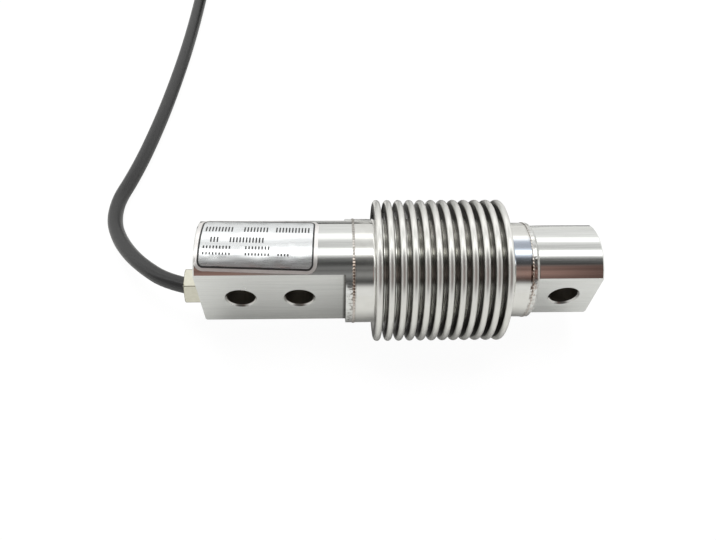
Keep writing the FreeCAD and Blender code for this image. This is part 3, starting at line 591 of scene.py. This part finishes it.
finish_faces(1, lambda co: 0 < inside_frame(co) < FRAME_LINE)
finish_faces(2, lambda co: inside_frame(co) <= 0)
cuts_across = [(BEND_CUTS[1] + BEND_CUTS[2] * i) * MM for i in range(BEND_CUTS[0])]
cuts_across += [(row[0] + side * row[1]) * MM for row in STROKE_ROWS for side in (-1, 1)]
cuts_along = [stroke_at(rank) + side * MM for rank in range(STROKE_RANKS) for side in (0, STROKE_WIDTH)]
cuts = [((0, y, 0), (0, 1, 0)) for y in cuts_across] + [((x, 0, 0), (1, 0, 0)) for x in cuts_along]
for at, across in cuts:
    bpy.ops.mesh.select_all(action="SELECT")
    bpy.ops.mesh.bisect(plane_co=at, plane_no=across)
finish_faces(1, in_strokes)
bpy.ops.mesh.select_all(action="SELECT")
bpy.ops.transform.rotate(value=PLATE_SKEW, orient_axis="Z", center_override=(0, 0, 0))
bpy.ops.transform.translate(value=(PLATE_MIDDLE, 0, ABOVE_BODY))
bpy.ops.object.mode_set(mode="OBJECT")
apply_modifier(plate, "SHRINKWRAP", target=nodes["load_cell_body"], wrap_method="PROJECT", use_project_z=True,
               use_negative_direction=True, use_positive_direction=False, offset=GLUE)
apply_modifier(plate, "SOLIDIFY", thickness=PLATE_THICK, offset=1.0)
smooth(plate, 30)
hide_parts("rating_plate")
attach(plate, "root")

# Cable gland: a hexagon screw of nickel-plated brass, turned from bar and screwed into the end of the block.
# It presses a rubber ring between two steel washers round the cable. Its edges are bevelled and drawn darker.
EDGE_BEVEL_WIDTH = 0.3 * MM
gland = nodes["gland_screw"]
# Nickel on brass: pale and a little warm, with a soft sheen. Bevelled edges: darker lines.
plated = mottled("nickel_plated_brass", "#BBB9A8", "#D4D2C5", 1.0 * MM, 0.42, metallic=1.0)
dark_edge_colour = mottled("darker_edge_nickel", "#625F52", "#7E7B69", 0.5 * MM, 0.5, metallic=1.0)
dress(gland, plated, dark_edge_colour)
joined = gland.modifiers.new("joined", "WELD")
joined.merge_threshold = SAME_POINT
edge_bevel = gland.modifiers.new("edge_bevel", "BEVEL")
edge_bevel.width = EDGE_BEVEL_WIDTH
edge_bevel.segments = 3
edge_bevel.material = 1
edge_bevel.limit_method = "ANGLE"
edge_bevel.angle_limit = math.radians(40)
# Stamped steel: plain grey, fairly bright. Seal rubber: black and matt.
washer_steel = mottled("washer_stainless_steel", "#B9B8B4", "#C8C7C3", 0.8 * MM, 0.3, metallic=1.0)
dress(nodes["gland_outer_washer"], washer_steel)
dress(nodes["gland_inner_washer"], washer_steel)
dress(nodes["gland_seal"], mottled("black_seal_rubber", "#1A1A1A", "#262625", 0.7 * MM, 0.6))

# Cable: black sheath over four cores and a shield, held by the gland and lying loose on the bench.
# The length past the view is wound into a tied coil; its end comes off the top with the cores bare.
# Places and sizes of the cable and its leads are in millimetres.
SHEATH_RADIUS = 2.5
BENCH = -21.0
LEAD_ROUTE = [
    (-26.4, 0.0, -7.7), (-33.1, 2.0, -8.1), (-41.0, 8.3, -9.8), (-47.4, 15.4, -12.3),
    (-52.9, 23.8, -15.1), (-56.5, 32.8, -17.3), (-56.8, 42.6, -18.4), (-53.8, 51.8, -18.5),
    (-50.2, 66.4, -18.5), (-45.7, 92.0, -18.5), (-41.6, 127.8, -18.5), (-39.4, 163.7, -18.1),
    (-38.5, 191.3, -17.3),
]
TAIL_ROUTE = [
    (20.8, 250.4, -2.4), (31.0, 250.2, -4.6), (42.0, 249.4, -10.2), (53.0, 247.8, -15.8),
    (64.0, 245.2, -18.5), (73.0, 242.0, -18.5),
]
COIL_MIDDLE = (0.0, 212.0)
COIL_LAYERS = (-17.3, -12.3, -7.3, -2.3)
COIL_OUTER = 38.4
COIL_INNER = 21.6
LAYER_TURNS = 3.375
RISE_TURNS = 0.25
TURN_POINTS = 16
# The spline runs inside its control points, so the turns' points stand out by this share.
SPREAD = 1 / 0.981


def wire(name, points, radius, material):
    """A round wire along one NURBS spline, with its points and radius in millimetres."""
    line = bpy.data.curves.new(name, "CURVE")
    line.dimensions = "3D"
    spline = line.splines.new("NURBS")
    spline.points.add(len(points) - 1)
    for point, co in zip(spline.points, points):
        point.co = (co[0] * MM, co[1] * MM, co[2] * MM, 1.0)
    spline.order_u = 3
    spline.use_endpoint_u = True
    line.resolution_u = 6
    line.bevel_depth = radius * MM
    line.bevel_resolution = 5
    line.use_fill_caps = True
    piece = bpy.data.objects.new(name, line)
    bpy.context.scene.collection.objects.link(piece)
    dress(piece, material)
    return piece


def coil_point(turns, radius, height):
    """A control point of the coil, wound clockwise from the side where the lead comes in."""
    angle = math.pi - 2 * math.pi * turns
    x = COIL_MIDDLE[0] + radius * SPREAD * math.cos(angle)
    y = COIL_MIDDLE[1] + radius * SPREAD * math.sin(angle)
    return (x, y, height)


points = list(LEAD_ROUTE)
wound = 0.0
layer_steps = round(LAYER_TURNS * TURN_POINTS)
rise_steps = round(RISE_TURNS * TURN_POINTS)
for layer, height in enumerate(COIL_LAYERS):
    first, last = (COIL_OUTER, COIL_INNER) if layer % 2 == 0 else (COIL_INNER, COIL_OUTER)
    for i in range(layer_steps + 1):
        share = i / layer_steps
        points.append(coil_point(wound + LAYER_TURNS * share, first + (last - first) * share, height))
    wound += LAYER_TURNS
    if layer + 1 < len(COIL_LAYERS):
        rise = COIL_LAYERS[layer + 1] - height
        for i in range(1, rise_steps):
            share = i / rise_steps
            points.append(coil_point(wound + RISE_TURNS * share, last, height + rise * share))
    wound += RISE_TURNS
points += TAIL_ROUTE
# PVC sheath: near black, with a soft line of light along the top.
sheath = mottled("black_cable_sheath", "#0C0C0C", "#161615", 1.2 * MM, 0.36, relief=0.15)
cable = wire("signal_cable", points, SHEATH_RADIUS, sheath)
dress(nodes["cable_entry"], sheath)
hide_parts("cable_lead", "cable_coil", "cable_tail")
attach(cable, "root")

# Stripped leads: the four insulated cores and the twisted shield fan out where the sheath ends.
# The last few millimetres of each core are bare tinned strands.
LEAD_LENGTH = 23.0
LEAD_FAN = 3.0
LEAD_RING = 0.978
CORE_RADIUS = 0.55
STRAND_RADIUS = 0.36
SHIELD_RADIUS = 0.5
# Each lead with its place round the cable's middle, in degrees.
LEADS = (("red", 162), ("black", 234), ("green", 90), ("white", 306), ("shield", 18))
# Points of a lead, each as a share of the length, of the fan and of the fall to the bench.
LEAD_BEND = ((0, 0, 0), (0.22, 0, 0), (0.5, 0.3, 0.45), (0.78, 0.65, 1), (1, 1, 1))
# Tinned copper: dull silver, ribbed by its strands.
tinned = mottled("tinned_copper_strands", "#A9A59B", "#C9C6BE", 0.35 * MM, 0.3, metallic=1.0, relief=0.5)
end, before = TAIL_ROUTE[-1], TAIL_ROUTE[-2]
run = math.dist(end, before)
onward = [(b - a) / run for a, b in zip(before, end)]
sideways = (-onward[1], onward[0])
for rank, (colour, degrees) in enumerate(LEADS):
    across = LEAD_RING * math.cos(math.radians(degrees))
    start_height = end[2] + LEAD_RING * math.sin(math.radians(degrees))
    drop = CORE_RADIUS + BENCH - start_height
    aside = (rank - 2) * LEAD_FAN - across
    points = []
    for share, spread, fall in LEAD_BEND:
        reach = share * LEAD_LENGTH
        shift = across + spread * aside
        x = end[0] + onward[0] * reach + sideways[0] * shift
        y = end[1] + onward[1] * reach + sideways[1] * shift
        points.append((x, y, start_height + drop * fall))
    if colour == "shield":
        lead = wire("shield_twist", points, SHIELD_RADIUS, tinned)
    else:
        lead = wire(colour + "_core_end", points[:4], CORE_RADIUS, insulation[colour])
        bare = wire(colour + "_strands", points[3:], STRAND_RADIUS, tinned)
        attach(bare, "root")
    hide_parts("lead_" + colour)
    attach(lead, "root")

# Tie: a moulded nylon strap drawn tight round one side of the coil, with a square locking head on top.
# The strap is drawn as a loop, and the head, hollow where the strap's end was cut off flush, is joined on.
STRAP_LEFT = 18.85 * MM
STRAP_RIGHT = 41.0 * MM
STRAP_LOW = -19.8 * MM
STRAP_HIGH = 0.2 * MM
STRAP_CORNER = 2.4 * MM
STRAP_THICK = 1.2 * MM
STRAP_WIDTH = 3.6 * MM
STRAP_EDGE = 0.25 * MM
HEAD = 4.5 * MM
HEAD_WIDTH = 1.3 * STRAP_WIDTH
HEAD_EDGE = 0.3 * MM
HEAD_WALL = 0.8 * MM
HEAD_HOLLOW = 1.2 * MM
TIE_AT = (30.0 * MM, 212.0 * MM)
strap_side = TIE_AT[1] - STRAP_WIDTH / 2
left, right = STRAP_LEFT + STRAP_CORNER, STRAP_RIGHT - STRAP_CORNER
low, high = STRAP_LOW + STRAP_CORNER, STRAP_HIGH - STRAP_CORNER
loop = []
for middle, first in (((right, high), 0), ((left, high), 90), ((left, low), 180), ((right, low), 270)):
    loop += arc(middle, STRAP_CORNER, first, first + 90, 6, strap_side)
tie = draw_section("nylon_tie", loop + loop[:1])
bpy.ops.mesh.remove_doubles(threshold=SAME_POINT)
bpy.ops.mesh.extrude_region_move(TRANSFORM_OT_translate={"value": (0, STRAP_WIDTH, 0)})
face_outwards(tie, lambda face: face.center.x)
bpy.ops.object.mode_set(mode="OBJECT")
apply_modifier(tie, "SOLIDIFY", thickness=STRAP_THICK, offset=1.0)
apply_modifier(tie, "BEVEL", width=STRAP_EDGE, segments=2, limit_method="ANGLE", angle_limit=math.radians(50))
strap_top = STRAP_HIGH + STRAP_THICK
deselect()
bpy.ops.mesh.primitive_cube_add(size=1, location=(0, 0, 0))
head = bpy.context.object
edit(head)
bpy.ops.mesh.select_all(action="SELECT")
bpy.ops.transform.resize(value=(HEAD, HEAD_WIDTH, HEAD / 2), center_override=(0, 0, 0))
bpy.ops.transform.translate(value=(TIE_AT[0], TIE_AT[1], strap_top + HEAD / 4))
pick(head, "FACE", lambda co: co.z > strap_top + 0.45 * HEAD)
bpy.ops.mesh.inset(thickness=HEAD_WALL)
bpy.ops.mesh.extrude_region_move(TRANSFORM_OT_translate={"value": (0, 0, -HEAD_HOLLOW)})
bpy.ops.object.mode_set(mode="OBJECT")
apply_modifier(head, "BEVEL", width=HEAD_EDGE, segments=3, limit_method="ANGLE", angle_limit=math.radians(50))
deselect()
head.select_set(True)
tie.select_set(True)
bpy.context.view_layer.objects.active = tie
bpy.ops.object.join()
smooth(tie, 40)
# Black nylon: dark and half glossy, with a faint moulded grain.
dress(tie, mottled("black_tie_nylon", "#161617", "#212122", 0.9 * MM, 0.4, relief=0.2))
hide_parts("cable_tie")
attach(tie, "root")

# Studio: white paper bench under broad light from above and behind, in a white tent with two bright strips
# overhead. The camera looks through a dark gap in the tent's front, with warm-coloured things at both sides.
WHITE = linear("#FFFFFF")
BENCH_SIZE = 6.0
# Shares of plain white in the paper, to the eye and in metal; the rest takes light and shadow.
SEEN_WHITE = 0.93
MIRRORED_WHITE = 0.15
# White paper: nearly plain white to the eye, with a faint shadow under the cell.
deselect()
bpy.ops.mesh.primitive_plane_add(size=BENCH_SIZE, location=(0, 0, BENCH * MM))
bench = bpy.context.object
bench.name = "bench_paper"
paper, tree = new_material("white_paper")
path = add(tree, "LightPath")
matt = add(tree, "BsdfDiffuse", {"Color": linear("#F4F4F2")})
white = add(tree, "Emission", {"Color": WHITE, "Strength": 1.03})
by_eye = add(tree, "Math", {0: path.outputs["Is Camera Ray"], 1: SEEN_WHITE}, operation="MULTIPLY")
bent = add(tree, "Math", {0: path.outputs["Is Glossy Ray"], 1: path.outputs["Is Transmission Ray"]},
           operation="MAXIMUM")
by_metal = add(tree, "Math", {0: bent, 1: MIRRORED_WHITE}, operation="MULTIPLY")
share = add(tree, "Math", {0: by_eye, 1: by_metal}, operation="MAXIMUM")
seen = add(tree, "MixShader", {"Fac": share, 1: matt, 2: white})
add(tree, "OutputMaterial", {"Surface": seen})
dress(bench, paper)

# A broad overhead light leans from behind, and the metal doesn't mirror it.
lamp = bpy.data.lights.new("overhead_light", "SUN")
lamp.energy = 3.0
lamp.angle = math.radians(45)
overhead = bpy.data.objects.new("overhead_light", lamp)
bpy.context.scene.collection.objects.link(overhead)
overhead.rotation_euler = (math.radians(-24), 0, 0)
overhead.visible_camera = False
overhead.visible_glossy = False

# Painted shade: cards with soft edges lie behind the cell as shade on the bench, seen only as reflections,
# so that its far edges stand out.
# Each is its span along the axis, its near and far edge and its soft width, in millimetres, and a shade.
CARD_LIFT = 0.3
CARDS = (("near_shade_card", (-14, 40), (16, 52), 8, "#1C1C1C"), ("fold_shade_card", (22, 94), (30, 84), 13, "#303030"),
         ("end_shade_card", (90, 136), (42, 74), 8, "#0C0C0C"), ("far_shade_card", (-40, 112), (90, 126), 5, "#969696"))
for name, sides, depth, soft, shade in CARDS:
    middle = [sum(span) / 2 * MM for span in (sides, depth)]
    half = [(span[1] - span[0]) / 2 * MM for span in (sides, depth)]
    deselect()
    bpy.ops.mesh.primitive_plane_add(size=2, location=(0, 0, 0))
    card = bpy.context.object
    card.name = name
    edit(card)
    bpy.ops.mesh.select_all(action="SELECT")
    bpy.ops.transform.resize(value=(half[0], half[1], 1), center_override=(0, 0, 0))
    bpy.ops.transform.translate(value=(middle[0], middle[1], (BENCH + CARD_LIFT) * MM))
    bpy.ops.object.mode_set(mode="OBJECT")
    # Painted shade: matt grey that thins out to nothing at its edges.
    paper, tree = new_material(name + "_paper")
    place = add(tree, "TexCoord")
    spot = add(tree, "SeparateXYZ", {0: place.outputs["Object"]})
    cover = []
    for axis, centre, reach in zip("XY", middle, half):
        off = add(tree, "Math", {0: spot.outputs[axis], 1: centre}, operation="SUBTRACT")
        away = add(tree, "Math", {0: off}, operation="ABSOLUTE")
        cover.append(add(tree, "MapRange", {"Value": away, "From Min": reach, "From Max": reach - soft * MM}))
    whole = add(tree, "Math", {0: cover[0], 1: cover[1]}, operation="MULTIPLY")
    clear = add(tree, "BsdfTransparent")
    matt = add(tree, "BsdfDiffuse", {"Color": linear(shade)})
    sheet = add(tree, "MixShader", {"Fac": whole, 1: clear, 2: matt})
    add(tree, "OutputMaterial", {"Surface": sheet})
    dress(card, paper)
    card.visible_camera = False
    card.visible_diffuse = False
    card.visible_shadow = False

# The tent's levels go by the angle from straight up, in degrees, towards the camera's side.
TENT = [(-110, 1.0), (-75, 1.1), (-58, 1.2), (-52, 2.1), (-44, 2.1), (-38, 1.15), (-30, 0.9),
        (-20, 0.9), (-15, 1.6), (-12, 3.2), (-4, 3.2), (0, 1.2), (6, 0.3), (12, 0.16),
        (20, 0.07), (24, 0.18), (29, 0.27), (33, 0.16), (38, 0.3), (44, 0.36), (50, 0.22),
        (56, 0.10), (61, 0.13), (65, 0.45), (70, 0.95), (76, 1.08), (120, 1.08)]
GAP_MIDDLE = math.radians(42)
GAP_EDGE = (math.radians(22), math.radians(14))
EYE_SIDE = 0.06
# Where the warm sides, the unlit right end and the tent's own sides begin and end, across the view.
WARM_FROM = (0.13, 0.21)
UNLIT_FROM = (0.29, 0.38)
SIDES_FROM = (0.38, 0.62)
# The warm things' red, green and blue, as shares of the tent's light.
WARM = (1.35, 0.82, 0.7, 1)
UNLIT = linear("#65504B")
TENT_SIDE = linear("#CBCBCB")
DIFFUSE_LEVEL = 0.25
world = bpy.data.worlds.new("light_tent")
bpy.context.scene.world = world
world.use_nodes = True
tree = world.node_tree
tree.nodes.clear()
toward = add(tree, "TexCoord")
part = add(tree, "SeparateXYZ", {0: toward.outputs["Generated"]})
front = add(tree, "Math", {0: part.outputs["Y"], 1: -1.0}, operation="MULTIPLY")
lean = add(tree, "Math", {0: front, 1: part.outputs["Z"]}, operation="ARCTAN2")
along = add(tree, "MapRange", {"Value": lean, "From Min": -math.pi, "From Max": math.pi})
tent = add(tree, "ValToRGB", {"Fac": along})
stops = tent.color_ramp.elements
while len(stops) > 1:
    stops.remove(stops[-1])
for i, (degrees, level) in enumerate(TENT):
    stop = (degrees + 180) / 360
    element = stops[0] if i == 0 else stops.new(stop)
    element.position = stop
    element.color = (level, level, level, 1)
# The gap is warm off to both sides of the camera, dark at its far right, and grey at the tent's own sides.
from_eye = add(tree, "Math", {0: part.outputs["X"], 1: EYE_SIDE}, operation="SUBTRACT")
aside = add(tree, "Math", {0: from_eye}, operation="ABSOLUTE")
off_middle = add(tree, "MapRange", {"Value": aside, "From Min": WARM_FROM[0], "From Max": WARM_FROM[1]})
from_middle = add(tree, "Math", {0: lean, 1: GAP_MIDDLE}, operation="SUBTRACT")
gap_side = add(tree, "Math", {0: from_middle}, operation="ABSOLUTE")
in_gap = add(tree, "MapRange", {"Value": gap_side, "From Min": GAP_EDGE[0], "From Max": GAP_EDGE[1]})
warmth = add(tree, "Math", {0: off_middle, 1: in_gap}, operation="MULTIPLY")
warm = add(tree, "Mix", {"Factor": warmth, "A": WHITE, "B": WARM}, data_type="RGBA")
tinted = add(tree, "Mix", {"Factor": 1.0, "A": tent, "B": warm}, data_type="RGBA", blend_type="MULTIPLY")
far_right = add(tree, "MapRange", {"Value": part.outputs["X"], "From Min": UNLIT_FROM[0],
                                   "From Max": UNLIT_FROM[1]})
unlit = add(tree, "Math", {0: far_right, 1: in_gap}, operation="MULTIPLY")
shaded = add(tree, "Mix", {"Factor": unlit, "A": tinted, "B": UNLIT}, data_type="RGBA")
beside = add(tree, "MapRange", {"Value": aside, "From Min": SIDES_FROM[0], "From Max": SIDES_FROM[1]})
whole = add(tree, "Mix", {"Factor": beside, "A": shaded, "B": TENT_SIDE}, data_type="RGBA",
            blend_type="LIGHTEN")
path = add(tree, "LightPath")
shown = add(tree, "Mix", {"Factor": path.outputs["Is Camera Ray"], "A": whole, "B": WHITE}, data_type="RGBA")
level = add(tree, "MapRange", {"Value": path.outputs["Is Diffuse Ray"], "To Min": 1.0,
                               "To Max": DIFFUSE_LEVEL})
glow = add(tree, "Background", {"Color": shown, "Strength": level})
add(tree, "OutputWorld", {"Surface": glow})

# Camera: above the front of the cell and a little to the right of the mounting holes, as in the photograph.
# Its place, turn and lens come from fitting the cell's edges, holes and folds to the picture.
eye = bpy.data.cameras.new("camera")
eye.sensor_fit = "HORIZONTAL"
eye.sensor_width = 36.0
eye.lens = 34.59
eye.clip_start = 0.01
camera = bpy.data.objects.new("camera", eye)
bpy.context.scene.collection.objects.link(camera)
camera.location = (18.283 * MM, -113.897 * MM, 171.258 * MM)
camera.rotation_euler = [math.radians(turn) for turn in (33.703, -1.517, -1.456)]
bpy.context.scene.camera = camera
bpy.context.scene.view_settings.view_transform = "Standard"
